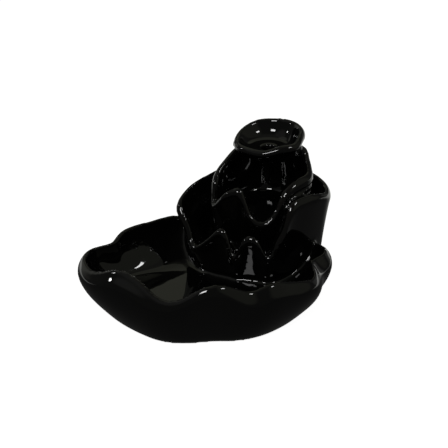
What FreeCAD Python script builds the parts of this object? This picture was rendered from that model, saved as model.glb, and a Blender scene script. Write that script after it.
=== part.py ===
"""Backflow incense burner: a wavy pond, two scalloped pools and a cone cup, cast and glazed as one piece.

Millimetres, +Z up, the origin under the middle of the whole piece on the table, -Y the front.
"""
import FreeCAD, Part
import math
import os

NAME = "burner_body"

# Driving dimensions of the sheet: alias, millimetres, what each one is
SIZES = [
    ("pond_x", -0.9, "pond centre, right of the middle of the whole piece"),
    ("pond_y", -0.8, "pond centre, behind the middle of the whole piece"),
    ("lower_x", 23.0, "lower pool centre, right of the pond centre"),
    ("lower_y", 25.0, "lower pool centre, behind the pond centre"),
    ("upper_x", 29.0, "upper pool centre, right of the pond centre"),
    ("upper_y", 23.0, "upper pool centre, behind the pond centre"),
    ("cup_x", 31.0, "cone cup centre, right of the pond centre"),
    ("cup_y", 26.0, "cone cup centre, behind the pond centre"),
    ("pond_width", 123.0, "width across the pond, left to right"),
    ("pond_floor", 6.0, "pond floor above the table"),
    ("lower_step", 13.0, "lower pool floor above the pond floor"),
    ("upper_step", 17.0, "upper pool floor above the lower pool floor"),
    ("cup_step", 30.5, "cup floor above the upper pool floor"),
    ("pond_wall", 4.4, "thickness of the pond wall"),
    ("pool_wall", 3.8, "thickness of the pool walls"),
    ("cup_wall", 3.6, "thickness of the cup wall"),
    ("pool_sweep", 5.4, "how far in from the pool walls the floors start to rise"),
    ("cup_sweep", 2.8, "how far in from the cup wall its floor starts to rise"),
    ("shelf_step", 4.2, "how far the lower pool's left wall steps in below its shelf"),
    ("cup_base", 4.0, "thickness of the cup floor"),
    ("smoke_hole", 6.8, "diameter of the hole that drops the smoke"),
    ("smoke_back", -0.7, "smoke hole centre behind the cup centre"),
    ("foot_width", 6.0, "width of the foot ring under the pond"),
    ("foot_height", 2.0, "recess inside the foot ring"),
    ("cast_wall", 4.0, "clay left round the hollow of the tower"),
]

# Step up to the cup for which the rises of the upper rim are drawn
DRAWN_CUP_STEP = 30.5

# Width across the pond for which its rim, foot and belly are drawn
DRAWN_POND_WIDTH = 123.0

# How far the upper pool's clay starts below the lower floor, and the hole runs past the cup floor
UPPER_SINK = 2.0
HOLE_OVERRUN = 3.0

# How far down the outside each lip starts to turn over, in wall thicknesses
POND_ROLL = 1.2
LOWER_ROLL = 1.2
UPPER_ROLL = 0.65
CUP_ROLL = 1.2

# The lip's turn from outside to inside, as steps aside from the crest and above it, in wall thicknesses
LIP_TURN = [
    (0.45, -0.60, True), (0.25, -0.34, True), (0.05, -0.08, True), (-0.27, 0.20, False), (-0.50, 0.0, False),
]

# The run of the inside from lip to floor: share of the height, share of the sweep and share of the shelf
INSIDE_RUN = [
    (1.0, 0.0, 0.0), (0.74, 0.08, 0.0), (0.64, 0.12, 1.0), (0.4, 0.3, 1.0), (0.15, 0.6, 1.0), (0.0, 0.9, 1.0),
    (0.0, 1.4, 1.0),
]

# Heights of the outside's rings between base and shoulder, and of a hollow's rings, as shares
OUTSIDE_SHARES = (0.08, 0.3, 0.55, 0.8)
HOLLOW_SHARES = (0.0, 0.25, 0.5, 0.75, 1.0)

# The inside starts half a wall below the lip, but never lower than this share of the lip's height
INSIDE_DROP = 0.5
LEAST_INSIDE = 0.4

# The upper hollow starts a little inside the tower's hollow and has a thicker wall round it
HOLLOW_LAP = 1.0
HOLLOW_EXTRA_WALL = 2.0

# Rounding of each bowl's outside into its base, and the share of it left at the base's edge
POND_CORNER = 3.0
POOL_CORNER = 2.0
CUP_CORNER = 1.2
EDGE_SHARE = 0.3

# Rims, as bearing from +X in degrees, reach from the bowl's centre and rise above its floor
POND_RIM = [
    (188, 59.0, 17.5), (199, 57.8, 17.5), (208, 54.8, 20.0), (217, 50.8, 23.5), (227, 48.8, 23.5),
    (237, 49.3, 21.0), (246, 50.8, 18.0), (256, 51.3, 18.5), (266, 49.8, 23.0), (275, 48.8, 25.5),
    (285, 48.3, 23.8), (297, 49.0, 20.0), (308, 51.0, 22.0), (320, 53.0, 19.5), (329, 56.0, 17.0),
    (336, 57.0, 15.5), (343, 54.5, 16.5), (349, 52.5, 17.0), (355, 56.0, 17.0), (361, 59.0, 16.5),
    (369, 58.5, 15.0), (378, 53.5, 13.5), (388, 47.5, 11.5), (402, 41.5, 10.0), (433, 36.0, 9.5),
    (455, 36.5, 12.5), (472, 39.0, 17.5), (493, 38.5, 19.0), (512, 41.5, 20.3), (523, 44.5, 19.5),
    (530, 46.5, 17.4), (538, 54.5, 17.8),
]
LOWER_RIM = [
    (188, 36.5, 19.5), (200, 34.0, 10.0), (210, 33.5, 2.5), (225, 29.5, 10.0), (237, 27.5, 15.0),
    (246, 28.0, 9.0), (252, 29.5, 2.5), (258, 28.0, 9.5), (267, 27.5, 13.2), (277, 29.5, 10.0),
    (283, 32.0, 3.5), (290, 32.0, 10.0), (298, 31.5, 17.5), (303, 30.5, 23.5), (312, 29.8, 28.5),
    (328, 31.5, 29.0), (342, 34.8, 27.7), (354, 37.3, 25.5), (368, 37.0, 26.0), (382, 34.0, 27.5),
    (400, 31.0, 28.0), (425, 27.5, 28.0), (450, 24.5, 28.0), (482, 21.5, 28.5), (503, 21.5, 29.5),
    (520, 24.5, 28.5), (529, 29.0, 26.5), (537, 32.7, 24.0),
]
UPPER_RIM = [
    (180, 21.0, 22.5), (188, 23.5, 19.5), (197, 25.5, 14.5), (204, 27.0, 7.0), (215, 25.0, 13.0),
    (224, 22.5, 16.5), (233, 21.0, 17.3), (240, 20.8, 14.0), (248, 22.0, 8.0), (257, 23.2, 3.5),
    (266, 23.3, 2.4), (275, 22.5, 4.0), (285, 21.0, 9.0), (292, 20.0, 13.5), (305, 19.5, 18.0),
    (325, 20.5, 20.0), (344, 22.0, 20.5), (359, 21.0, 23.0), (370, 20.3, 27.0), (378, 19.6, 29.8),
    (388, 17.8, 25.5), (401, 16.8, 26.5), (416, 16.2, 29.3), (450, 15.5, 29.5), (483, 15.3, 29.3),
    (510, 16.0, 27.8), (530, 18.3, 24.8),
]
CUP_RIM = [
    (180, 16.4, 3.8), (205, 16.6, 4.0), (232, 15.6, 4.0), (258, 15.7, 4.2), (274, 15.4, 5.3),
    (295, 16.4, 6.8), (316, 17.6, 7.0), (335, 16.6, 8.6), (360, 16.4, 9.0), (400, 16.3, 8.9),
    (440, 15.4, 8.6), (475, 15.6, 7.8), (510, 16.0, 5.6),
]

# Outside of each wall at its base and halfway up, as bearing and reach
POND_FOOT = [
    (0, 48), (40, 40), (90, 33), (130, 33), (160, 38), (185, 45.5), (200, 48), (215, 49.3), (230, 49.3),
    (248, 49.8), (260, 48.4), (273, 46.4), (285, 47.5), (300, 48.9), (315, 49.2), (330, 49), (345, 49.5),
]
POND_BELLY = [
    (0, 66), (40, 44), (90, 35), (130, 40), (155, 45), (168, 49), (177, 58), (188, 65), (200, 65.5),
    (215, 62.5), (230, 58.5), (245, 56), (258, 54), (270, 52), (285, 53.5), (300, 57), (315, 60),
    (330, 62), (345, 63.5),
]
LOWER_BASE = [
    (0, 34.5), (45, 31), (90, 28), (135, 32), (160, 35), (180, 31), (201, 28), (219, 27), (240, 24.5),
    (255, 24), (272, 25), (290, 28), (310, 27), (333, 29),
]
LOWER_BELLY = [
    (0, 35.5), (45, 32), (90, 28), (135, 29), (160, 33), (180, 33), (201, 29), (219, 27.5), (240, 26),
    (255, 26), (272, 27), (290, 29.5), (310, 29), (333, 31),
]
UPPER_BASE = [
    (0, 22), (45, 24), (90, 24), (135, 24), (180, 26), (210, 25), (240, 20), (270, 18.5), (300, 20),
    (330, 20.5),
]
UPPER_BELLY = [
    (0, 24), (45, 25), (90, 25), (135, 24), (180, 26), (210, 26), (240, 20), (270, 20.5), (300, 20.5),
    (330, 22.5),
]

# How far in from the pond wall its floor starts to rise, as bearing and distance
POND_SWEEP = [
    (0, 9), (60, 8), (100, 12), (145, 13), (158, 9), (170, 5), (185, 4), (212, 5), (235, 9), (300, 9),
]
CUP_BASE = [(0, 15), (60, 13.5), (120, 13.5), (160, 13.5), (200, 12), (240, 10.5), (300, 12.5)]
CUP_BELLY = [(0, 16), (60, 15.5), (120, 15.5), (180, 15), (240, 13), (300, 15)]

# Ledges outside the right of the upper pool, as drop below the lip and swell of the wall
LEDGES = [(2.6, -1.4), (3.7, 1.3), (5.2, -1.9), (6.7, 1.3), (8.2, -1.9), (9.7, 1.3), (11.2, -1.2)]
LEDGE_MIDDLE = 318.0
LEDGE_HALF_SPREAD = 46.0

# The shelf inside the lower pool's left wall: its middle bearing and how far it runs to each side
SHELF_MIDDLE = 165.0
SHELF_HALF_SPREAD = 68.0


def fill_sheet(doc):
    """Writes the driving dimensions into the document's spreadsheet and returns them by alias."""
    sheet = doc.addObject("Spreadsheet::Sheet", "Sizes")
    for row, (alias, value, meaning) in enumerate(SIZES, start=1):
        sheet.set("A%d" % row, meaning)
        sheet.set("B%d" % row, str(value))
        sheet.setAlias("B%d" % row, alias)
    doc.recompute()
    return {alias: float(sheet.get(alias)) for alias, _, _ in SIZES}


def reach_at(outline, bearing):
    """Reach of a closed outline at a bearing, on a smooth curve through the outline's points."""
    count = len(outline)
    turned = bearing % 360.0
    start = max((i for i in range(count) if outline[i][0] <= turned), default=count - 1)
    before, here, after, beyond = (outline[(start + k) % count] for k in (-1, 0, 1, 2))
    t = ((turned - here[0]) % 360.0) / ((after[0] - here[0]) % 360.0)
    a, b, c, d = before[1], here[1], after[1], beyond[1]
    linear = (c - a) * t
    square = (2 * a - 5 * b + 4 * c - d) * t ** 2
    cube = (3 * b - a - 3 * c + d) * t ** 3
    return 0.5 * (2 * b + linear + square + cube)


def ring(centre, bearings, reaches, heights):
    """Points of one closed ring round a centre."""
    points = []
    for bearing, reach, height in zip(bearings, reaches, heights):
        angle = math.radians(bearing)
        across = centre[0] + reach * math.cos(angle)
        deep = centre[1] + reach * math.sin(angle)
        points.append(FreeCAD.Vector(across, deep, height))
    return points


def spacing_of(points):
    """Parameters for a closed run of points: the square root of each chord, added up."""
    total = [0.0]
    for here, after in zip(points, points[1:] + points[:1]):
        total.append(total[-1] + math.sqrt((after - here).Length))
    return total


def window(bearing, middle, half_spread):
    """1 at the middle bearing, falling smoothly to 0 at the half spread."""
    away = abs((bearing - middle + 180.0) % 360.0 - 180.0) / half_spread
    return 0.5 + 0.5 * math.cos(math.pi * min(1.0, away))


def skin(rings, spacing):
    """Solid with one smooth side face carried over closed rings and a flat face at each end."""
    columns = []
    for points in rings:
        curve = Part.BSplineCurve()
        curve.interpolate(Points=points, PeriodicFlag=True, Parameters=spacing)
        columns.append(curve.getPoles())
    poles = [list(row) for row in zip(*columns)]
    inner = len(rings) - 4
    along = [float(k) for k in range(inner + 2)]
    surface = Part.BSplineSurface()
    surface.buildFromPolesMultsKnots(
        poles, curve.getMultiplicities(), [4] + [1] * inner + [4], spacing, along, True, False, 3, 3)
    side = surface.toShape()
    ends = [edge for edge in side.Edges if edge.isClosed() and edge.BoundBox.ZLength < 1e-6]
    caps = [Part.Face(Part.Wire([edge])) for edge in ends]
    solid = Part.Solid(Part.Shell(side.Faces + caps))
    solid.fix(1e-4, 1e-4, 1e-4)
    if solid.Volume < 0:
        solid.reverse()
    return solid


class Bowl:
    """A bowl with a wavy rim: its centre, its base and floor heights, and the run of its wall."""

    def __init__(self, centre, base_z, floor_z, rim, base, belly, wall, tallness=1.0, spread=1.0):
        self.centre = centre
        self.base_z = base_z
        self.floor_z = floor_z
        self.bearings = [station[0] for station in rim]
        self.reaches = [station[1] * spread for station in rim]
        self.lips = [floor_z + station[2] * tallness for station in rim]
        self.base = [reach_at(base, bearing) * spread for bearing in self.bearings]
        self.belly = [reach_at(belly, bearing) * spread for bearing in self.bearings]
        self.wall = wall
        self.spacing = spacing_of(ring(centre, self.bearings, self.reaches, self.lips))

    def outside(self, levels):
        """Reach of the outside at a height on each bearing: a parabola from base through belly to lip."""
        found = []
        for level, lip, low, middle, top in zip(levels, self.lips, self.base, self.belly, self.reaches):
            share = min(1.0, max(0.0, (level - self.base_z) / (lip - self.base_z)))
            rising = 2 * share * (1 - share) * middle
            found.append((1 - share) ** 2 * low + rising + share ** 2 * (top + self.wall / 2))
        return found

    def level_ring(self, levels, insets, ledge=0.0):
        """Ring at a height on each bearing, set in from the outside, swollen where the ledges are."""
        reaches = []
        for bearing, reach, inset in zip(self.bearings, self.outside(levels), insets):
            reaches.append(reach - inset + ledge * window(bearing, LEDGE_MIDDLE, LEDGE_HALF_SPREAD))
        return ring(self.centre, self.bearings, reaches, levels)

    def lip_ring(self, aside, above):
        """Ring at a step aside from the crest of the lip and above it, in wall thicknesses."""
        levels = [lip + above * self.wall for lip in self.lips]
        reaches = [reach + aside * self.wall for reach in self.reaches]
        return ring(self.centre, self.bearings, reaches, levels)

    def solid(self, corner, roll, sweeps, shelves, ledges=()):
        """The bowl's clay: flat base, outside up to the lip, over it and down inside to a flat floor."""
        count = len(self.lips)
        flush = [0.0] * count
        shoulders = [lip - roll * self.wall for lip in self.lips]
        lowest_ledge = max((drop for drop, _ in ledges), default=0.0)
        rings = [
            self.level_ring([self.base_z] * count, [corner] * count),
            self.level_ring([self.base_z] * count, [EDGE_SHARE * corner] * count),
        ]
        tops = [shoulder - lowest_ledge for shoulder in shoulders]
        for share in OUTSIDE_SHARES:
            rings.append(self.level_ring([self.base_z + share * (top - self.base_z) for top in tops], flush))
        for drop, swell in reversed(ledges):
            rings.append(self.level_ring([lip - drop for lip in self.lips], flush, swell))
        rings.append(self.level_ring(shoulders, flush))
        for aside, above, rolled in LIP_TURN:
            rings.append(self.lip_ring(aside, above * roll if rolled else above))
        inner_tops = []
        for lip in self.lips:
            height = lip - self.floor_z
            inner_tops.append(self.floor_z + max(height - INSIDE_DROP * self.wall, LEAST_INSIDE * height))
        for share, swept, stepped in INSIDE_RUN:
            levels = [self.floor_z + share * (top - self.floor_z) for top in inner_tops]
            insets = [self.wall + swept * sweep + stepped * shelf for sweep, shelf in zip(sweeps, shelves)]
            rings.append(self.level_ring(levels, insets))
        return skin(rings, self.spacing)

    def plug(self, low_z, high_z, inset):
        """Air inside the wall between two heights, set in from the outside."""
        rings = []
        for share in HOLLOW_SHARES:
            level = low_z + share * (high_z - low_z)
            rings.append(self.level_ring([level] * len(self.lips), [inset] * len(self.lips)))
        return skin(rings, self.spacing)


def even(bowl, value):
    """The same value at every bearing of a bowl's rim."""
    return [value] * len(bowl.bearings)


def feature(doc, name, shape):
    """A document object that carries a computed shape."""
    made = doc.addObject("Part::Feature", name)
    made.Shape = shape
    return made


def main():
    doc = FreeCAD.newDocument("incense_burner")
    size = fill_sheet(doc)
    pond_floor = size["pond_floor"]
    lower_floor = pond_floor + size["lower_step"]
    upper_floor = lower_floor + size["upper_step"]
    cup_floor = upper_floor + size["cup_step"]
    cast_wall = size["cast_wall"]

    # Four bowls, each joined to the ones below it that it pours into
    middle_x = size["pond_x"]
    middle_y = size["pond_y"]
    pond = Bowl((middle_x, middle_y), 0.0, pond_floor, POND_RIM, POND_FOOT, POND_BELLY, size["pond_wall"],
                spread=size["pond_width"] / DRAWN_POND_WIDTH)
    lower = Bowl((middle_x + size["lower_x"], middle_y + size["lower_y"]), 0.0, lower_floor,
                 LOWER_RIM, LOWER_BASE, LOWER_BELLY, size["pool_wall"])
    upper = Bowl((middle_x + size["upper_x"], middle_y + size["upper_y"]), lower_floor - UPPER_SINK,
                 upper_floor, UPPER_RIM, UPPER_BASE, UPPER_BELLY, size["pool_wall"],
                 size["cup_step"] / DRAWN_CUP_STEP)
    cup = Bowl((middle_x + size["cup_x"], middle_y + size["cup_y"]), cup_floor - size["cup_base"], cup_floor,
               CUP_RIM, CUP_BASE, CUP_BELLY, size["cup_wall"])
    pond_sweeps = [reach_at(POND_SWEEP, bearing) for bearing in pond.bearings]
    shelves = []
    for bearing in lower.bearings:
        shelves.append(size["shelf_step"] * window(bearing, SHELF_MIDDLE, SHELF_HALF_SPREAD))
    pool_sweep = size["pool_sweep"]
    cup_sweep = size["cup_sweep"]
    bowls = [
        feature(doc, "Pond", pond.solid(POND_CORNER, POND_ROLL, pond_sweeps, even(pond, 0.0))),
        feature(doc, "LowerPool", lower.solid(POOL_CORNER, LOWER_ROLL, even(lower, pool_sweep), shelves)),
        feature(doc, "UpperPool", upper.solid(
            POOL_CORNER, UPPER_ROLL, even(upper, pool_sweep), even(upper, 0.0), LEDGES)),
        feature(doc, "ConeCup", cup.solid(CUP_CORNER, CUP_ROLL, even(cup, cup_sweep), even(cup, 0.0))),
    ]
    clay = bowls[0]
    for bowl in bowls[1:]:
        joined = doc.addObject("Part::Fuse", "ClayWith" + bowl.Name)
        joined.Base = clay
        joined.Tool = bowl
        clay = joined

    # The hole in the cup floor, over the upper pool
    hole = doc.addObject("Part::Cylinder", "SmokeHole")
    hole.setExpression("Radius", "Sizes.smoke_hole / 2")
    hole.setExpression("Height", "Sizes.cup_base + %g" % (2 * HOLE_OVERRUN))
    hole.setExpression("Placement.Base.x", "Sizes.pond_x + Sizes.cup_x")
    hole.setExpression("Placement.Base.y", "Sizes.pond_y + Sizes.cup_y + Sizes.smoke_back")
    hole.setExpression(
        "Placement.Base.z",
        "Sizes.pond_floor + Sizes.lower_step + Sizes.upper_step + Sizes.cup_step - Sizes.cup_base - %g"
        % HOLE_OVERRUN)

    # Air under the piece: inside the foot ring, and up inside the tower below each pool floor
    voids = [
        hole,
        feature(doc, "FootRecess", pond.plug(0.0, size["foot_height"], size["foot_width"])),
        feature(doc, "TowerHollow", lower.plug(0.0, lower_floor - cast_wall, cast_wall)),
        feature(doc, "UpperHollow",
                upper.plug(lower_floor - cast_wall - HOLLOW_LAP, upper_floor - cast_wall,
                           cast_wall + HOLLOW_EXTRA_WALL)),
    ]
    air = doc.addObject("Part::MultiFuse", "Air")
    air.Shapes = voids
    body = doc.addObject("Part::Cut", NAME)
    body.Base = clay
    body.Tool = air
    body.Label = NAME
    doc.recompute()

    for made in doc.Objects:
        assert "Invalid" not in made.State and "Error" not in made.State, made.Name
        if hasattr(made, "Shape"):
            assert not made.Shape.isNull() and made.Shape.isValid(), made.Name

    os.makedirs("parts", exist_ok=True)
    body.Shape.exportStep("parts/%s.step" % NAME)
    print(body.Shape.BoundBox, round(body.Shape.Volume), len(body.Shape.Solids))


main()
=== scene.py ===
"""Backflow incense burner: a wavy pond, two scalloped pools and a cone cup, one black glazed casting.

Metres, +Z up, the front towards -Y. Shapes are worked out in millimetres and scaled as they become meshes.
"""

import math

import bpy
import numpy as np
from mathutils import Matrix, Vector


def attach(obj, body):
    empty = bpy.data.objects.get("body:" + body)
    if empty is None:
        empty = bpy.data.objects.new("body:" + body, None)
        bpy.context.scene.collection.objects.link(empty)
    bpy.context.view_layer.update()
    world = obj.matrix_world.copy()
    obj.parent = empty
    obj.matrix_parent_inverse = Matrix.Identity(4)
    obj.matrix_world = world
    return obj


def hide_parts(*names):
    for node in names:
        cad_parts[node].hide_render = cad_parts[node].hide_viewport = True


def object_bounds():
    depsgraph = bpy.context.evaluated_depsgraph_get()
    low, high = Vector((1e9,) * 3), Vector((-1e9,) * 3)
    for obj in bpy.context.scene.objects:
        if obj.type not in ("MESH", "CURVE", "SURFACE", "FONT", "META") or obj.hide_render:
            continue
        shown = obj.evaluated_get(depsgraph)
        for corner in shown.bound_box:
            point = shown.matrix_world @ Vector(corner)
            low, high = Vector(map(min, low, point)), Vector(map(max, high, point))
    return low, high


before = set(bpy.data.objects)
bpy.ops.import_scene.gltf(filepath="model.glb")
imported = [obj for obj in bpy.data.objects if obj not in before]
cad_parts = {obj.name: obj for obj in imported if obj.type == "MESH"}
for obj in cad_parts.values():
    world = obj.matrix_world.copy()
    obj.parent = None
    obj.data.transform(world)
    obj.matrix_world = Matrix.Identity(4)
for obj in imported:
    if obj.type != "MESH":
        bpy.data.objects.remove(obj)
cad_low, cad_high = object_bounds()


# The view: a long lens straight in front of the burner, looking down on it by 28 degrees,
# far enough away that the cup and the pond keep their true proportions.
look_at = Vector((0.0083, -0.0065, 0.0407))
look_down = math.radians(28.0)
camera_distance = 0.600
lens_mm = 102.05
sensor_mm = 36.0

camera_data = bpy.data.cameras.new("view")
camera_data.lens = lens_mm
camera_data.sensor_width = sensor_mm
camera_data.clip_start = 0.01
camera_data.clip_end = 20.0
camera = bpy.data.objects.new("view", camera_data)
bpy.context.collection.objects.link(camera)
camera.location = look_at + camera_distance * Vector((0.0, -math.cos(look_down), math.sin(look_down)))
camera.rotation_euler = (math.pi / 2 - look_down, 0.0, 0.0)
bpy.context.scene.camera = camera

bpy.context.scene.view_settings.view_transform = "Standard"
bpy.context.scene.view_settings.look = "None"
bpy.context.scene.view_settings.exposure = 0.0
bpy.context.scene.view_settings.gamma = 1.0


# The floor: a sheet of pale card. It is white to look at. In the glaze it is mirrored dim beside the burner
# and bright well behind it, as under a light tent with black cards stood round the front.
floor_size = 3.0
floor_drop = 0.0002
floor_glow = 0.93
floor_diffuse = 0.55
floor_mirrored_near = (0.054, 0.054, 0.053, 1.0)
floor_mirrored_far = (0.95, 0.96, 0.92, 1.0)
floor_brightens_from = 0.035
floor_brightens_to = 0.140

floor_mesh = bpy.data.meshes.new("floor")
half = floor_size / 2
floor_corners = [(-half, -half, -floor_drop), (half, -half, -floor_drop), (half, half, -floor_drop),
                 (-half, half, -floor_drop)]
floor_mesh.from_pydata(floor_corners, [], [(0, 1, 2, 3)])
floor = bpy.data.objects.new("floor", floor_mesh)
bpy.context.collection.objects.link(floor)
card = bpy.data.materials.new("pale_card")
card.use_nodes = True
nodes = card.node_tree.nodes
links = card.node_tree.links
nodes.clear()
card_out = nodes.new("ShaderNodeOutputMaterial")
card_diffuse = nodes.new("ShaderNodeBsdfDiffuse")
card_diffuse.inputs["Color"].default_value = (floor_diffuse, floor_diffuse, floor_diffuse, 1.0)
card_glow = nodes.new("ShaderNodeEmission")
card_glow.inputs["Strength"].default_value = floor_glow
card_lit = nodes.new("ShaderNodeAddShader")
card_place = nodes.new("ShaderNodeTexCoord")
card_axes = nodes.new("ShaderNodeSeparateXYZ")
card_depth = nodes.new("ShaderNodeMapRange")
card_depth.interpolation_type = "SMOOTHSTEP"
card_depth.inputs["From Min"].default_value = floor_brightens_from
card_depth.inputs["From Max"].default_value = floor_brightens_to
card_tone = nodes.new("ShaderNodeMix")
card_tone.data_type = "RGBA"
card_tone.inputs[6].default_value = floor_mirrored_near
card_tone.inputs[7].default_value = floor_mirrored_far
card_mirrored = nodes.new("ShaderNodeEmission")
card_path = nodes.new("ShaderNodeLightPath")
card_choice = nodes.new("ShaderNodeMixShader")
links.new(card_place.outputs["Object"], card_axes.inputs[0])
links.new(card_axes.outputs["Y"], card_depth.inputs["Value"])
links.new(card_depth.outputs[0], card_tone.inputs["Factor"])
links.new(card_tone.outputs[2], card_mirrored.inputs["Color"])
links.new(card_diffuse.outputs[0], card_lit.inputs[0])
links.new(card_glow.outputs[0], card_lit.inputs[1])
links.new(card_path.outputs["Is Camera Ray"], card_choice.inputs[0])
links.new(card_mirrored.outputs[0], card_choice.inputs[1])
links.new(card_lit.outputs[0], card_choice.inputs[2])
links.new(card_choice.outputs[0], card_out.inputs[0])
floor_mesh.materials.append(card)


# The studio: white all round to look at, dim in the glaze. Pale cards high up, behind and at the sides give
# the grey and olive sheen on the floors and walls, and small softboxes the white streaks along the rims.
surround_dim = (0.062, 0.063, 0.060)
lamp_distance = 0.8
lamp_aim = Vector((0.005, 0.0, 0.03))

world = bpy.data.worlds.new("studio")
bpy.context.scene.world = world
world.use_nodes = True
nodes = world.node_tree.nodes
links = world.node_tree.links
nodes.clear()
sky_out = nodes.new("ShaderNodeOutputWorld")
sky_seen = nodes.new("ShaderNodeBackground")
sky_seen.inputs["Color"].default_value = (1.0, 1.0, 1.0, 1.0)
sky_seen.inputs["Strength"].default_value = 1.0
sky_mirrored = nodes.new("ShaderNodeBackground")
sky_path = nodes.new("ShaderNodeLightPath")
sky_choice = nodes.new("ShaderNodeMixShader")
sky_direction = nodes.new("ShaderNodeTexCoord")
links.new(sky_path.outputs["Is Camera Ray"], sky_choice.inputs[0])
links.new(sky_mirrored.outputs[0], sky_choice.inputs[1])
links.new(sky_seen.outputs[0], sky_choice.inputs[2])
links.new(sky_choice.outputs[0], sky_out.inputs[0])


def towards(turn, rise):
    """Direction to a light, in degrees: turned from the front of the burner to its right, then raised."""
    a = math.radians(turn)
    b = math.radians(rise)
    return Vector((math.sin(a) * math.cos(b), -math.cos(a) * math.cos(b), math.sin(b)))


def pale_card(colour_so_far, turn, rise, half_width, softness, colour):
    """Adds a round pale card to what the glaze mirrors: full to its half width, fading over its softness."""
    middle = towards(turn, rise)
    along = nodes.new("ShaderNodeVectorMath")
    along.operation = "DOT_PRODUCT"
    along.inputs[1].default_value = middle
    links.new(sky_direction.outputs["Generated"], along.inputs[0])
    fade = nodes.new("ShaderNodeMapRange")
    fade.interpolation_type = "SMOOTHSTEP"
    fade.inputs["From Min"].default_value = math.cos(math.radians(half_width + softness))
    fade.inputs["From Max"].default_value = math.cos(math.radians(half_width))
    links.new(along.outputs["Value"], fade.inputs["Value"])
    tint = nodes.new("ShaderNodeVectorMath")
    tint.operation = "SCALE"
    tint.inputs[0].default_value = colour
    links.new(fade.outputs[0], tint.inputs["Scale"])
    total = nodes.new("ShaderNodeVectorMath")
    total.operation = "ADD"
    links.new(colour_so_far, total.inputs[0])
    links.new(tint.outputs[0], total.inputs[1])
    return total.outputs[0]


start = nodes.new("ShaderNodeCombineXYZ")
for channel, level in enumerate(surround_dim):
    start.inputs[channel].default_value = level
surround = start.outputs[0]
for turn, rise, half_width, softness, colour in (
        (0.0, 88.0, 14.0, 20.0, (0.060, 0.061, 0.050)),
        (180.0, 52.0, 26.0, 5.0, (0.150, 0.155, 0.112)),
        (-132.0, 12.0, 12.0, 8.0, (0.240, 0.245, 0.215)),
        (-118.0, 52.0, 10.0, 8.0, (0.200, 0.202, 0.180)),
        (-70.0, 48.0, 12.0, 12.0, (0.095, 0.095, 0.090)),
        (72.0, 32.0, 24.0, 14.0, (0.085, 0.088, 0.066)),
        (128.0, 5.0, 8.0, 10.0, (0.120, 0.120, 0.115)),
):
    surround = pale_card(surround, turn, rise, half_width, softness, colour)
links.new(surround, sky_mirrored.inputs["Color"])


def softbox(name, turn, rise, width, height, watts):
    """A rectangular light that faces the middle of the burner."""
    data = bpy.data.lights.new(name, "AREA")
    data.shape = "RECTANGLE"
    data.size = width
    data.size_y = height
    data.energy = watts
    lamp = bpy.data.objects.new(name, data)
    bpy.context.collection.objects.link(lamp)
    way = towards(turn, rise)
    lamp.location = lamp_aim + lamp_distance * way
    lamp.rotation_euler = way.to_track_quat("Z", "Y").to_euler()
    lamp.visible_camera = False


softbox("left_box", -20.0, 44.0, 0.20, 0.11, 1.25)
softbox("right_box", 52.0, 44.0, 0.14, 0.08, 0.60)
softbox("side_lamp", -92.0, 28.0, 0.05, 0.05, 0.22)


# The pond: the wide basin that catches the smoke. Slip-cast clay with a rim that rises and falls in waves,
# pinched at the left and notched at the right, standing on a foot ring. Outlines here and below are bearings
# in degrees with a reach in millimetres, and for a rim its rise above the floor.
pond_centre = (-0.9, -0.8)
pond_floor = 6.0
pond_wall = 4.4
pond_corner = 3.0
pond_roll = 1.2
lip_turn_outside = [(0.45, -0.60), (0.25, -0.34), (0.05, -0.08)]
lip_turn_inside = [(-0.27, 0.20), (-0.50, 0.0)]
outside_shares = (0.08, 0.3, 0.55, 0.8)
base_edge_share = 0.3
inside_run = [(1.0, 0.0, 0.0), (0.74, 0.08, 0.0), (0.64, 0.12, 1.0), (0.4, 0.3, 1.0), (0.15, 0.6, 1.0),
              (0.0, 0.9, 1.0), (0.0, 1.4, 1.0)]
least_inside = 0.4
air_shares = (0.0, 0.25, 0.5, 0.75, 1.0)
air_below_table = 1.0
pond_rim = [
    (188, 59.0, 17.5), (199, 57.8, 17.5), (208, 54.8, 20.0), (217, 50.8, 23.5), (227, 48.8, 23.5),
    (237, 49.3, 21.0), (246, 50.8, 18.0), (256, 51.3, 18.5), (266, 49.8, 23.0), (275, 48.8, 25.5),
    (285, 48.3, 23.8), (297, 49.0, 20.0), (308, 51.0, 22.0), (320, 53.0, 19.5), (329, 56.0, 17.0),
    (336, 57.0, 15.5), (343, 54.5, 16.5), (349, 52.5, 17.0), (355, 56.0, 17.0), (361, 59.0, 16.5),
    (369, 58.5, 15.0), (378, 53.5, 13.5), (388, 47.5, 11.5), (402, 41.5, 10.0), (433, 36.0, 9.5),
    (455, 36.5, 12.5), (472, 39.0, 17.5), (493, 38.5, 19.0), (512, 41.5, 20.3), (523, 44.5, 19.5),
    (530, 46.5, 17.4), (538, 54.5, 17.8),
]
pond_foot = [
    (0, 48), (40, 40), (90, 33), (130, 33), (160, 38), (185, 45.5), (200, 48), (215, 49.3), (230, 49.3),
    (248, 49.8), (260, 48.4), (273, 46.4), (285, 47.5), (300, 48.9), (315, 49.2), (330, 49), (345, 49.5),
]
pond_belly = [
    (0, 66), (40, 44), (90, 35), (130, 40), (155, 45), (168, 49), (177, 58), (188, 65), (200, 65.5),
    (215, 62.5), (230, 58.5), (245, 56), (258, 54), (270, 52), (285, 53.5), (300, 57), (315, 60),
    (330, 62), (345, 63.5),
]
pond_sweep = [
    (0, 9), (60, 8), (100, 12), (145, 13), (158, 9), (170, 5), (185, 4), (212, 5), (235, 9), (300, 9),
]
foot_width = 6.0
foot_height = 2.0


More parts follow.
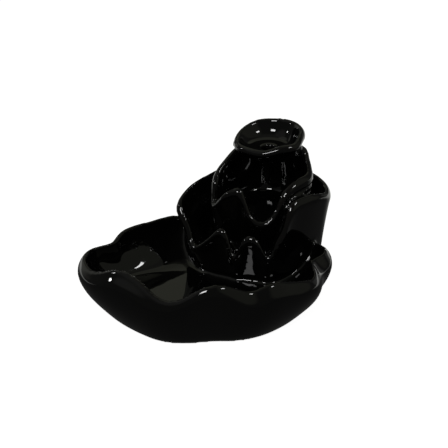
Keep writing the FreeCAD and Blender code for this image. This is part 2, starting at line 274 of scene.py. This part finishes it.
def reach_at(outline, bearing):
    """Reach of a closed outline at each bearing: a cubic through four neighbouring points of the outline."""
    marks = np.array([mark for mark, _ in outline], float)
    reach = np.array([value for _, value in outline], float)
    count = len(marks)
    turned = np.mod(bearing, 360.0)
    here = (np.searchsorted(marks, turned, side="right") - 1) % count
    after = (here + 1) % count
    span = np.mod(marks[after] - marks[here], 360.0)
    t = np.mod(turned - marks[here], 360.0) / span
    a, b, c, d = reach[(here - 1) % count], reach[here], reach[after], reach[(here + 2) % count]
    square = (2 * a - 5 * b + 4 * c - d) * t ** 2
    cube = (3 * b - a - 3 * c + d) * t ** 3
    return 0.5 * (2 * b + (c - a) * t + square + cube)


def closed_curves(rings, marks, around):
    """Smooth closed curve through each ring's points. On every stretch the two end points are blended and
    bent by the second derivatives there, solved so that slope and bend run on through every point."""
    step = np.diff(marks)
    count = len(step)
    slope = (np.roll(rings, -1, axis=1) - rings) / step[None, :, None]
    index = np.arange(count)
    matrix = np.zeros((count, count))
    matrix[index, index] = 2 * (np.roll(step, 1) + step)
    matrix[index, (index + 1) % count] += step
    matrix[index, (index - 1) % count] += np.roll(step, 1)
    bend = np.linalg.solve(matrix[None], 6 * (slope - np.roll(slope, 1, axis=1)))
    here = np.clip(np.searchsorted(marks, around, side="right") - 1, 0, count - 1)
    after = (here + 1) % count
    near = ((marks[here + 1] - around) / step[here])[None, :, None]
    far = 1.0 - near
    sag = (step[here] ** 2 / 6.0)[None, :, None]
    straight = near * rings[:, here] + far * rings[:, after]
    return straight + sag * ((near ** 3 - near) * bend[:, here] + (far ** 3 - far) * bend[:, after])


def ring_shares(count, up):
    """Share of each control ring at a place up the wall: cubic B-spline weights, clamped at both ends,
    raised degree by degree from steps that are 1 inside one stretch and 0 elsewhere."""
    knots = np.concatenate([np.zeros(3), np.arange(count - 2.0), np.full(3, count - 3.0)])
    place = np.minimum(up, count - 3.0 - 1e-9)[:, None]
    share = ((knots[None, :-1] <= place) & (place < knots[None, 1:])).astype(float)
    for degree in (1, 2, 3):
        left = knots[degree:-1] - knots[:-degree - 1]
        right = knots[degree + 1:] - knots[1:-degree]
        passed = (place - knots[None, :-degree - 1]) / np.where(left > 0, left, 1.0)
        ahead = (knots[None, degree + 1:] - place) / np.where(right > 0, right, 1.0)
        rising = np.where(left > 0, passed, 0.0)
        falling = np.where(right > 0, ahead, 0.0)
        share = rising * share[:, :-1] + falling * share[:, 1:]
    return share


class Bowl:
    """A bowl with a wavy rim, as a surface of two parameters: round the rim, and from base up and over."""

    def __init__(self, centre, base_z, floor_z, rim, base, belly, wall):
        stations = np.array(rim, float)
        self.centre = centre
        self.base_z = base_z
        self.floor_z = floor_z
        self.wall = wall
        self.bearings = stations[:, 0]
        self.reaches = stations[:, 1]
        self.lips = floor_z + stations[:, 2]
        self.base = reach_at(base, self.bearings)
        self.belly = reach_at(belly, self.bearings)
        crest = self.ring(self.reaches, self.lips)
        chords = np.linalg.norm(np.roll(crest, -1, axis=0) - crest, axis=1)
        self.marks = np.concatenate([[0.0], np.cumsum(np.sqrt(chords))])

    def ring(self, reaches, heights):
        """Points round the centre: across = reach x cosine of bearing, deep = reach x sine of bearing."""
        angle = np.radians(self.bearings)
        across = self.centre[0] + reaches * np.cos(angle)
        deep = self.centre[1] + reaches * np.sin(angle)
        return np.stack([across, deep, heights], 1)

    def outside(self, levels):
        """Reach of the outside: a parabola of height from the base, drawn towards the belly, to the lip."""
        share = np.clip((levels - self.base_z) / (self.lips - self.base_z), 0.0, 1.0)
        top = self.reaches + self.wall / 2
        return (1 - share) ** 2 * self.base + 2 * share * (1 - share) * self.belly + share ** 2 * top

    def level_ring(self, levels, inset, swell=0.0):
        """Ring on the outside at the given heights, set in by the inset and swollen by the swell."""
        return self.ring(self.outside(levels) - inset + swell, levels)

    def control_rings(self, corner, roll, sweep, shelf=0.0, ledges=(), ledge_spread=0.0):
        """Rings that steer the skin: flat base, outside up to the lip, over it and down inside to the floor.
        The roll is how far down the outside the lip starts to turn over, in wall thicknesses, the sweep is
        how far in from the wall the floor starts to rise, and the shelf is how far the inside steps in."""
        count = len(self.lips)
        base = np.full(count, self.base_z)
        shoulders = self.lips - roll * self.wall
        lowest = max((drop for drop, _ in ledges), default=0.0)
        rings = [self.level_ring(base, corner), self.level_ring(base, base_edge_share * corner)]
        for share in outside_shares:
            rings.append(self.level_ring(self.base_z + share * (shoulders - lowest - self.base_z), 0.0))
        for drop, swell in reversed(ledges):
            rings.append(self.level_ring(self.lips - drop, 0.0, swell * ledge_spread))
        rings.append(self.level_ring(shoulders, 0.0))
        turn = [(aside, above * roll) for aside, above in lip_turn_outside] + lip_turn_inside
        for aside, above in turn:
            rings.append(self.ring(self.reaches + aside * self.wall, self.lips + above * self.wall))
        tops = self.lips - self.wall / 2
        depth = np.maximum(tops - self.floor_z, least_inside * (self.lips - self.floor_z))
        for share, swept, stepped in inside_run:
            inset = self.wall + swept * sweep + stepped * shelf
            rings.append(self.level_ring(self.floor_z + share * depth, inset))
        return np.stack(rings)

    def plug_rings(self, low_z, high_z, inset):
        """Rings that steer the air inside the wall between two heights."""
        rings = []
        for share in air_shares:
            level = np.full(len(self.lips), low_z + share * (high_z - low_z))
            rings.append(self.level_ring(level, inset))
        return np.stack(rings)

    def skin(self, name, rings, columns, rows_per_stretch):
        """Closed mesh of the skin: point = sum of each ring's closed curve x its share, both ends fanned."""
        around = np.linspace(0.0, self.marks[-1], columns, endpoint=False)
        stretches = len(rings) - 3
        up = np.linspace(0.0, stretches, stretches * rows_per_stretch + 1)
        curves = closed_curves(rings, self.marks, around)
        grid = np.einsum("rk,kcx->rcx", ring_shares(len(rings), up), curves)
        rows = len(up)
        number = np.arange(rows * columns).reshape(rows, columns)
        beside = np.roll(number, -1, axis=1)
        wall = np.stack([number[:-1], beside[:-1], beside[1:], number[1:]], -1).reshape(-1, 4)
        low_end = rows * columns
        low_fan = np.stack([beside[0], number[0], np.full(columns, low_end)], 1)
        high_fan = np.stack([number[-1], beside[-1], np.full(columns, low_end + 1)], 1)
        ends = np.stack([grid[0].mean(0), grid[-1].mean(0)])
        points = np.concatenate([grid.reshape(-1, 3), ends])
        mesh = bpy.data.meshes.new(name)
        mesh.from_pydata(points.tolist(), [], wall.tolist() + low_fan.tolist() + high_fan.tolist())
        made = bpy.data.objects.new(name, mesh)
        bpy.context.collection.objects.link(made)
        return made


pond = Bowl(pond_centre, 0.0, pond_floor, pond_rim, pond_foot, pond_belly, pond_wall)
pond_sweeps = reach_at(pond_sweep, pond.bearings)
pond_clay = pond.skin("pond_clay", pond.control_rings(pond_corner, pond_roll, pond_sweeps), 420, 7)
foot_recess = pond.skin("foot_recess", pond.plug_rings(-air_below_table, foot_height, foot_width), 300, 2)


# The lower pool: a drum that stands in the pond, cast with it. Its rim climbs at the left shoulder and
# at the back, and pours over two low tongues in front, with crests of clay between them. A shelf runs
# inside its left wall, and the casting leaves the drum hollow underneath.
lower_centre = (22.1, 24.2)
lower_floor = 19.0
pool_wall = 3.8
pool_corner = 2.0
pool_sweep = 5.4
lower_roll = 1.2
lower_rim = [
    (188, 36.5, 19.5), (200, 34.0, 10.0), (210, 33.5, 2.5), (225, 29.5, 10.0), (237, 27.5, 15.0),
    (246, 28.0, 9.0), (252, 29.5, 2.5), (258, 28.0, 9.5), (267, 27.5, 13.2), (277, 29.5, 10.0),
    (283, 32.0, 3.5), (290, 32.0, 10.0), (298, 31.5, 17.5), (303, 30.5, 23.5), (312, 29.8, 28.5),
    (328, 31.5, 29.0), (342, 34.8, 27.7), (354, 37.3, 25.5), (368, 37.0, 26.0), (382, 34.0, 27.5),
    (400, 31.0, 28.0), (425, 27.5, 28.0), (450, 24.5, 28.0), (482, 21.5, 28.5), (503, 21.5, 29.5),
    (520, 24.5, 28.5), (529, 29.0, 26.5), (537, 32.7, 24.0),
]
lower_base = [
    (0, 34.5), (45, 31), (90, 28), (135, 32), (160, 35), (180, 31), (201, 28), (219, 27), (240, 24.5),
    (255, 24), (272, 25), (290, 28), (310, 27), (333, 29),
]
lower_belly = [
    (0, 35.5), (45, 32), (90, 28), (135, 29), (160, 33), (180, 33), (201, 29), (219, 27.5), (240, 26),
    (255, 26), (272, 27), (290, 29.5), (310, 29), (333, 31),
]
cast_wall = 4.0
shelf_step = 4.2
shelf_middle = 165.0
shelf_half_spread = 68.0


def window(bearings, middle, half_spread):
    """1 at the middle bearing, 0 at the half spread: half of 1 + cosine of the share of the way out."""
    away = np.abs(np.mod(bearings - middle + 180.0, 360.0) - 180.0) / half_spread
    return 0.5 + 0.5 * np.cos(np.pi * np.minimum(1.0, away))


lower = Bowl(lower_centre, 0.0, lower_floor, lower_rim, lower_base, lower_belly, pool_wall)
lower_shelf = shelf_step * window(lower.bearings, shelf_middle, shelf_half_spread)
lower_clay = lower.skin(
    "lower_clay", lower.control_rings(pool_corner, lower_roll, pool_sweep, lower_shelf), 380, 7)
tower_hollow_top = lower_floor - cast_wall
tower_hollow = lower.skin(
    "tower_hollow", lower.plug_rings(-air_below_table, tower_hollow_top, cast_wall), 240, 3)


# The upper pool: a niche under the cup, cast on the lower pool's back. A crest and one broad tongue in front,
# ledges of clay at the right like layered rock, each a drop below the lip and a swell, and a pointed tip
# beside the cup.
upper_centre = (28.1, 22.2)
upper_floor = 36.0
upper_sink = 2.0
upper_roll = 0.65
upper_rim = [
    (180, 21.0, 22.5), (188, 23.5, 19.5), (197, 25.5, 14.5), (204, 27.0, 7.0), (215, 25.0, 13.0),
    (224, 22.5, 16.5), (233, 21.0, 17.3), (240, 20.8, 14.0), (248, 22.0, 8.0), (257, 23.2, 3.5),
    (266, 23.3, 2.4), (275, 22.5, 4.0), (285, 21.0, 9.0), (292, 20.0, 13.5), (305, 19.5, 18.0),
    (325, 20.5, 20.0), (344, 22.0, 20.5), (359, 21.0, 23.0), (370, 20.3, 27.0), (378, 19.6, 29.8),
    (388, 17.8, 25.5), (401, 16.8, 26.5), (416, 16.2, 29.3), (450, 15.5, 29.5), (483, 15.3, 29.3),
    (510, 16.0, 27.8), (530, 18.3, 24.8),
]
upper_base = [
    (0, 22), (45, 24), (90, 24), (135, 24), (180, 26), (210, 25), (240, 20), (270, 18.5), (300, 20),
    (330, 20.5),
]
upper_belly = [
    (0, 24), (45, 25), (90, 25), (135, 24), (180, 26), (210, 26), (240, 20), (270, 20.5), (300, 20.5),
    (330, 22.5),
]
ledges = [(2.6, -1.4), (3.7, 1.3), (5.2, -1.9), (6.7, 1.3), (8.2, -1.9), (9.7, 1.3), (11.2, -1.2)]
ledge_middle = 318.0
ledge_half_spread = 46.0
ledge_reach = 3.0
hollow_lap = 1.0
hollow_extra_wall = 2.0

upper = Bowl(upper_centre, lower_floor - upper_sink, upper_floor, upper_rim, upper_base, upper_belly,
             pool_wall)
ledge_spread = window(upper.bearings, ledge_middle, ledge_half_spread)
upper_clay = upper.skin(
    "upper_clay", upper.control_rings(pool_corner, upper_roll, pool_sweep, 0.0, ledges, ledge_spread), 320, 7)
upper_hollow_top = upper_floor - cast_wall
upper_hollow_wall = cast_wall + hollow_extra_wall
upper_air = upper.plug_rings(tower_hollow_top - hollow_lap, upper_hollow_top, upper_hollow_wall)
upper_hollow = upper.skin("upper_hollow", upper_air, 200, 3)


# The cone cup: the small dish on top that holds the cone. Its rim is low at the left and high at the right,
# and a hole through its floor drops the smoke into the niche.
cup_centre = (30.1, 25.2)
cup_floor = 66.5
cup_wall = 3.6
cup_base_thick = 4.0
cup_corner = 1.2
cup_sweep = 2.8
cup_roll = 1.2
cup_rim = [
    (180, 16.4, 3.8), (205, 16.6, 4.0), (232, 15.6, 4.0), (258, 15.7, 4.2), (274, 15.4, 5.3),
    (295, 16.4, 6.8), (316, 17.6, 7.0), (335, 16.6, 8.6), (360, 16.4, 9.0), (400, 16.3, 8.9),
    (440, 15.4, 8.6), (475, 15.6, 7.8), (510, 16.0, 5.6),
]
cup_base = [(0, 15), (60, 13.5), (120, 13.5), (160, 13.5), (200, 12), (240, 10.5), (300, 12.5)]
cup_belly = [(0, 16), (60, 15.5), (120, 15.5), (180, 15), (240, 13), (300, 15)]
smoke_hole_radius = 3.4
smoke_hole_centre = (30.1, 24.5)
hole_overrun = 3.0

cup = Bowl(cup_centre, cup_floor - cup_base_thick, cup_floor, cup_rim, cup_base, cup_belly, cup_wall)
cup_clay = cup.skin("cup_clay", cup.control_rings(cup_corner, cup_roll, cup_sweep), 260, 7)


def round_bore(name, centre, low_z, high_z, radius, columns):
    """Closed cylinder: point = centre + radius x (cosine, sine) of the turn, at each height."""
    turn = np.linspace(0.0, 2 * np.pi, columns, endpoint=False)
    circle = np.stack([centre[0] + radius * np.cos(turn), centre[1] + radius * np.sin(turn)], 1)
    low = np.column_stack([circle, np.full(columns, low_z)])
    high = np.column_stack([circle, np.full(columns, high_z)])
    number = np.arange(columns)
    beside = np.roll(number, -1)
    wall = np.stack([number, beside, beside + columns, number + columns], 1).tolist()
    mesh = bpy.data.meshes.new(name)
    mesh.from_pydata(np.concatenate([low, high]).tolist(), [],
                     wall + [number[::-1].tolist(), (number + columns).tolist()])
    made = bpy.data.objects.new(name, mesh)
    bpy.context.collection.objects.link(made)
    return made


smoke_hole = round_bore("smoke_hole", smoke_hole_centre, cup_floor - cup_base_thick - hole_overrun,
                        cup_floor + hole_overrun, smoke_hole_radius, 96)


# The casting: pond, pools and cup are one piece of clay under one coat of black glaze. The glaze has run
# together in the corners and drawn thin over the rims, and the foot ring and the hollows are left bare.
skin_cell = 0.84
pooling_rounds = 26
pooling_pace = 0.5
pooling_full_at = 0.06
facing_renewed_every = 4
even_rounds = 26
ledge_even_rounds = 8
even_in = 0.50
even_out = 0.52
settling_rounds = 6
settling_pace = 0.5
flat_foot_under = 0.25
bulge_rounds = 6
glaze_thins_from = 0.05
glaze_thins_over = 0.25
bare_foot_under = 0.7
bare_foot_over = 0.5
bare_foot_rim = 1.0
bare_recess_rim = 0.4
bare_hollow_rim = 1.2


def shape_of(thing):
    """The mesh of an object with its modifiers worked in."""
    graph = bpy.context.evaluated_depsgraph_get()
    return bpy.data.meshes.new_from_object(thing.evaluated_get(graph))


for tool, operation in (
        (lower_clay, "UNION"), (upper_clay, "UNION"), (cup_clay, "UNION"), (foot_recess, "DIFFERENCE"),
        (tower_hollow, "DIFFERENCE"), (upper_hollow, "DIFFERENCE"), (smoke_hole, "DIFFERENCE"),
):
    joint = pond_clay.modifiers.new(tool.name, "BOOLEAN")
    joint.solver = "MANIFOLD"
    joint.operation = operation
    joint.object = tool
casting = bpy.data.objects.new("casting", shape_of(pond_clay))
bpy.context.collection.objects.link(casting)
glazed = bpy.data.objects.new("glazed", casting.data.copy())
bpy.context.collection.objects.link(glazed)
even = glazed.modifiers.new("even_cells", "REMESH")
even.mode = "VOXEL"
even.voxel_size = skin_cell
even.use_smooth_shade = True
laid_on = glazed.modifiers.new("laid_on_clay", "SHRINKWRAP")
laid_on.target = casting
laid_on.wrap_method = "NEAREST_SURFACEPOINT"
skin = shape_of(glazed)

count = len(skin.vertices)
points = np.empty(count * 3, np.float32)
skin.vertices.foreach_get("co", points)
points = points.reshape(-1, 3).astype(float)
edges = np.empty(len(skin.edges) * 2, np.int32)
skin.edges.foreach_get("vertices", edges)
edges = edges.reshape(-1, 2)
skin.calc_loop_triangles()
corners = np.empty(len(skin.loop_triangles) * 3, np.int32)
skin.loop_triangles.foreach_get("vertices", corners)
corners = corners.reshape(-1, 3)
neighbours = np.bincount(edges.ravel(), minlength=count).astype(float)


def pull(places):
    """From each point to the mean of its neighbours: the sum over its edges / number of edges - the point."""
    total = np.empty_like(places)
    for axis in range(3):
        total[:, axis] = (np.bincount(edges[:, 0], places[edges[:, 1], axis], count)
                          + np.bincount(edges[:, 1], places[edges[:, 0], axis], count))
    return total / neighbours[:, None] - places


def outward(places):
    """Unit normal at each point: the cross products of its triangles, added up."""
    first = places[corners[:, 0]]
    face = np.cross(places[corners[:, 1]] - first, places[corners[:, 2]] - first)
    total = np.zeros_like(places)
    for corner in range(3):
        for axis in range(3):
            total[:, axis] += np.bincount(corners[:, corner], face[:, axis], count)
    return total / np.maximum(np.linalg.norm(total, axis=1), 1e-12)[:, None]


def bearing_from(bowl):
    """Bearing of each point from the bowl's centre, in degrees from the first of its rim's bearings up."""
    offset = points[:, :2] - np.array(bowl.centre)
    bearing = np.degrees(np.arctan2(offset[:, 1], offset[:, 0]))
    return np.mod(bearing - bowl.bearings[0], 360.0) + bowl.bearings[0]


def depth_in(bowl):
    """How far each point lies inside the bowl's outside: the parabola's reach - distance from the centre."""
    turned = bearing_from(bowl)
    lip = np.interp(turned, bowl.bearings, bowl.lips)
    top = np.interp(turned, bowl.bearings, bowl.reaches) + bowl.wall / 2
    low = np.interp(turned, bowl.bearings, bowl.base)
    middle = np.interp(turned, bowl.bearings, bowl.belly)
    share = np.clip((points[:, 2] - bowl.base_z) / (lip - bowl.base_z), 0.0, 1.0)
    reach = (1 - share) ** 2 * low + 2 * share * (1 - share) * middle + share ** 2 * top
    return reach - np.hypot(points[:, 0] - bowl.centre[0], points[:, 1] - bowl.centre[1])


def within(bowl, inset, low_z, high_z):
    """1 for points deeper inside the bowl's outside than the inset, between two heights."""
    inside = depth_in(bowl) > inset
    return (inside & (points[:, 2] > low_z) & (points[:, 2] < high_z)).astype(float)


# The ledges keep their grooves: the glaze doesn't pool there
on_ledges = window(bearing_from(upper), ledge_middle, ledge_half_spread)
grooved = (on_ledges > 0.0) & (np.abs(depth_in(upper)) < ledge_reach) & (points[:, 2] > upper_floor)
pooled = np.where(grooved, 0.0, 1.0)

# The glaze fills the hollows, then its surface is evened, in and out by turns, and settles a little
flat_foot = points[:, 2] < flat_foot_under
for turn in range(pooling_rounds):
    if turn % facing_renewed_every == 0:
        facing = outward(points)
    move = pull(points)
    hollow = np.sum(move * facing, axis=1)
    fill = pooled * np.clip(hollow / (pooling_full_at * skin_cell), 0.0, 1.0)
    points += pooling_pace * move * fill[:, None]
for turn in range(even_rounds):
    eased = (pooled if turn >= ledge_even_rounds else np.ones(count))[:, None]
    points += even_in * eased * pull(points)
    points -= even_out * eased * pull(points)
for turn in range(settling_rounds):
    points += settling_pace * pooled[:, None] * pull(points)
points[flat_foot, 2] = 0.0
low_mm = np.array(cad_low) * 1000.0
high_mm = np.array(cad_high) * 1000.0
points = np.clip(points, low_mm, high_mm)

# Where the glaze is thin: how sharply the surface bulges, measured over a few cells
facing = outward(points)
bulge = -np.sum(pull(points) * facing, axis=1) / skin_cell ** 2
for turn in range(bulge_rounds):
    bulge = bulge + pull(np.column_stack([bulge, bulge, bulge]))[:, 0]
thin_glaze = np.clip((bulge - glaze_thins_from) / glaze_thins_over, 0.0, 1.0)

# Where the clay is bare: the foot ring, the recess inside it and the two hollows, with a rim round each
bare_clay = np.clip((bare_foot_under - points[:, 2]) / bare_foot_over, 0.0, 1.0)
for bowl, inset, low_z, high_z in (
        (pond, foot_width - bare_foot_rim, -air_below_table, foot_height + bare_recess_rim),
        (lower, cast_wall - bare_hollow_rim, -air_below_table, tower_hollow_top + bare_hollow_rim),
        (upper, upper_hollow_wall - bare_hollow_rim, tower_hollow_top - hollow_lap,
         upper_hollow_top + bare_hollow_rim),
):
    bare_clay = np.maximum(bare_clay, within(bowl, inset, low_z, high_z))

skin.vertices.foreach_set("co", (points * 0.001).astype(np.float32).ravel())
for name, values in (("thin_glaze", thin_glaze), ("bare_clay", bare_clay)):
    layer = skin.attributes.new(name, "FLOAT", "POINT")
    layer.data.foreach_set("value", values.astype(np.float32))
skin.polygons.foreach_set("use_smooth", np.ones(len(skin.polygons), bool))
skin.update()
body = bpy.data.objects.new("glazed_body", skin)
bpy.context.collection.objects.link(body)
for spare in (pond_clay, lower_clay, upper_clay, cup_clay, foot_recess, tower_hollow, upper_hollow,
              smoke_hole, casting, glazed):
    bpy.data.objects.remove(spare)

glaze_black = (0.0013, 0.0013, 0.0014, 1.0)
glaze_grey = (0.0022, 0.0022, 0.0019, 1.0)
glaze_brown = (0.011, 0.0038, 0.0024, 1.0)
clay_dark = (0.24, 0.165, 0.115, 1.0)
clay_light = (0.36, 0.265, 0.19, 1.0)
glaze_ior = 1.52
glaze_smoothest = 0.030
glaze_roughest = 0.055
clay_rough = 0.86
wave_strength = 0.35
wave_height = 0.00012

glaze = bpy.data.materials.new("black_glaze")
glaze.use_nodes = True
nodes = glaze.node_tree.nodes
links = glaze.node_tree.links
nodes.clear()
glaze_out = nodes.new("ShaderNodeOutputMaterial")
coat = nodes.new("ShaderNodeBsdfPrincipled")
coat.inputs["IOR"].default_value = glaze_ior
links.new(coat.outputs[0], glaze_out.inputs[0])
place = nodes.new("ShaderNodeTexCoord")


def noise(scale, detail, roughness):
    """A cloud pattern on the piece's own coordinates."""
    made = nodes.new("ShaderNodeTexNoise")
    made.inputs["Scale"].default_value = scale
    made.inputs["Detail"].default_value = detail
    made.inputs["Roughness"].default_value = roughness
    links.new(place.outputs["Object"], made.inputs["Vector"])
    return made.outputs["Fac"]


def spread(value, low, high, to_low, to_high):
    """A value carried from one range to another, and held inside it."""
    made = nodes.new("ShaderNodeMapRange")
    made.inputs["From Min"].default_value = low
    made.inputs["From Max"].default_value = high
    made.inputs["To Min"].default_value = to_low
    made.inputs["To Max"].default_value = to_high
    links.new(value, made.inputs["Value"])
    return made.outputs[0]


def times(a, b):
    """Product of two values."""
    made = nodes.new("ShaderNodeMath")
    made.operation = "MULTIPLY"
    links.new(a, made.inputs[0])
    links.new(b, made.inputs[1])
    return made.outputs[0]


def blend_colour(share, low, high):
    """Colour between two, each a socket or a plain colour."""
    made = nodes.new("ShaderNodeMix")
    made.data_type = "RGBA"
    links.new(share, made.inputs["Factor"])
    for index, colour in ((6, low), (7, high)):
        if isinstance(colour, tuple):
            made.inputs[index].default_value = colour
        else:
            links.new(colour, made.inputs[index])
    return made.outputs[2]


def attribute(name):
    """A value carried by the mesh."""
    made = nodes.new("ShaderNodeAttribute")
    made.attribute_name = name
    return made.outputs["Fac"]


thin = times(attribute("thin_glaze"), spread(noise(55.0, 3.0, 0.55), 0.42, 0.68, 0.0, 1.0))
clouded = blend_colour(noise(70.0, 2.0, 0.5), glaze_black, glaze_grey)
glaze_colour = blend_colour(thin, clouded, glaze_brown)
clay_colour = blend_colour(noise(420.0, 4.0, 0.6), clay_dark, clay_light)
bare = attribute("bare_clay")
links.new(blend_colour(bare, glaze_colour, clay_colour), coat.inputs["Base Color"])

glaze_rough = spread(noise(90.0, 3.0, 0.6), 0.3, 0.7, glaze_smoothest, glaze_roughest)
mix_rough = nodes.new("ShaderNodeMix")
links.new(bare, mix_rough.inputs["Factor"])
links.new(glaze_rough, mix_rough.inputs[2])
mix_rough.inputs[3].default_value = clay_rough
links.new(mix_rough.outputs[0], coat.inputs["Roughness"])

waviness = nodes.new("ShaderNodeBump")
waviness.inputs["Strength"].default_value = wave_strength
waviness.inputs["Distance"].default_value = wave_height
links.new(noise(150.0, 2.0, 0.4), waviness.inputs["Height"])
links.new(waviness.outputs[0], coat.inputs["Normal"])

skin.materials.clear()
skin.materials.append(glaze)
skin.polygons.foreach_set("material_index", np.zeros(len(skin.polygons), np.int32))
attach(body, "root")
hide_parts("burner_body")
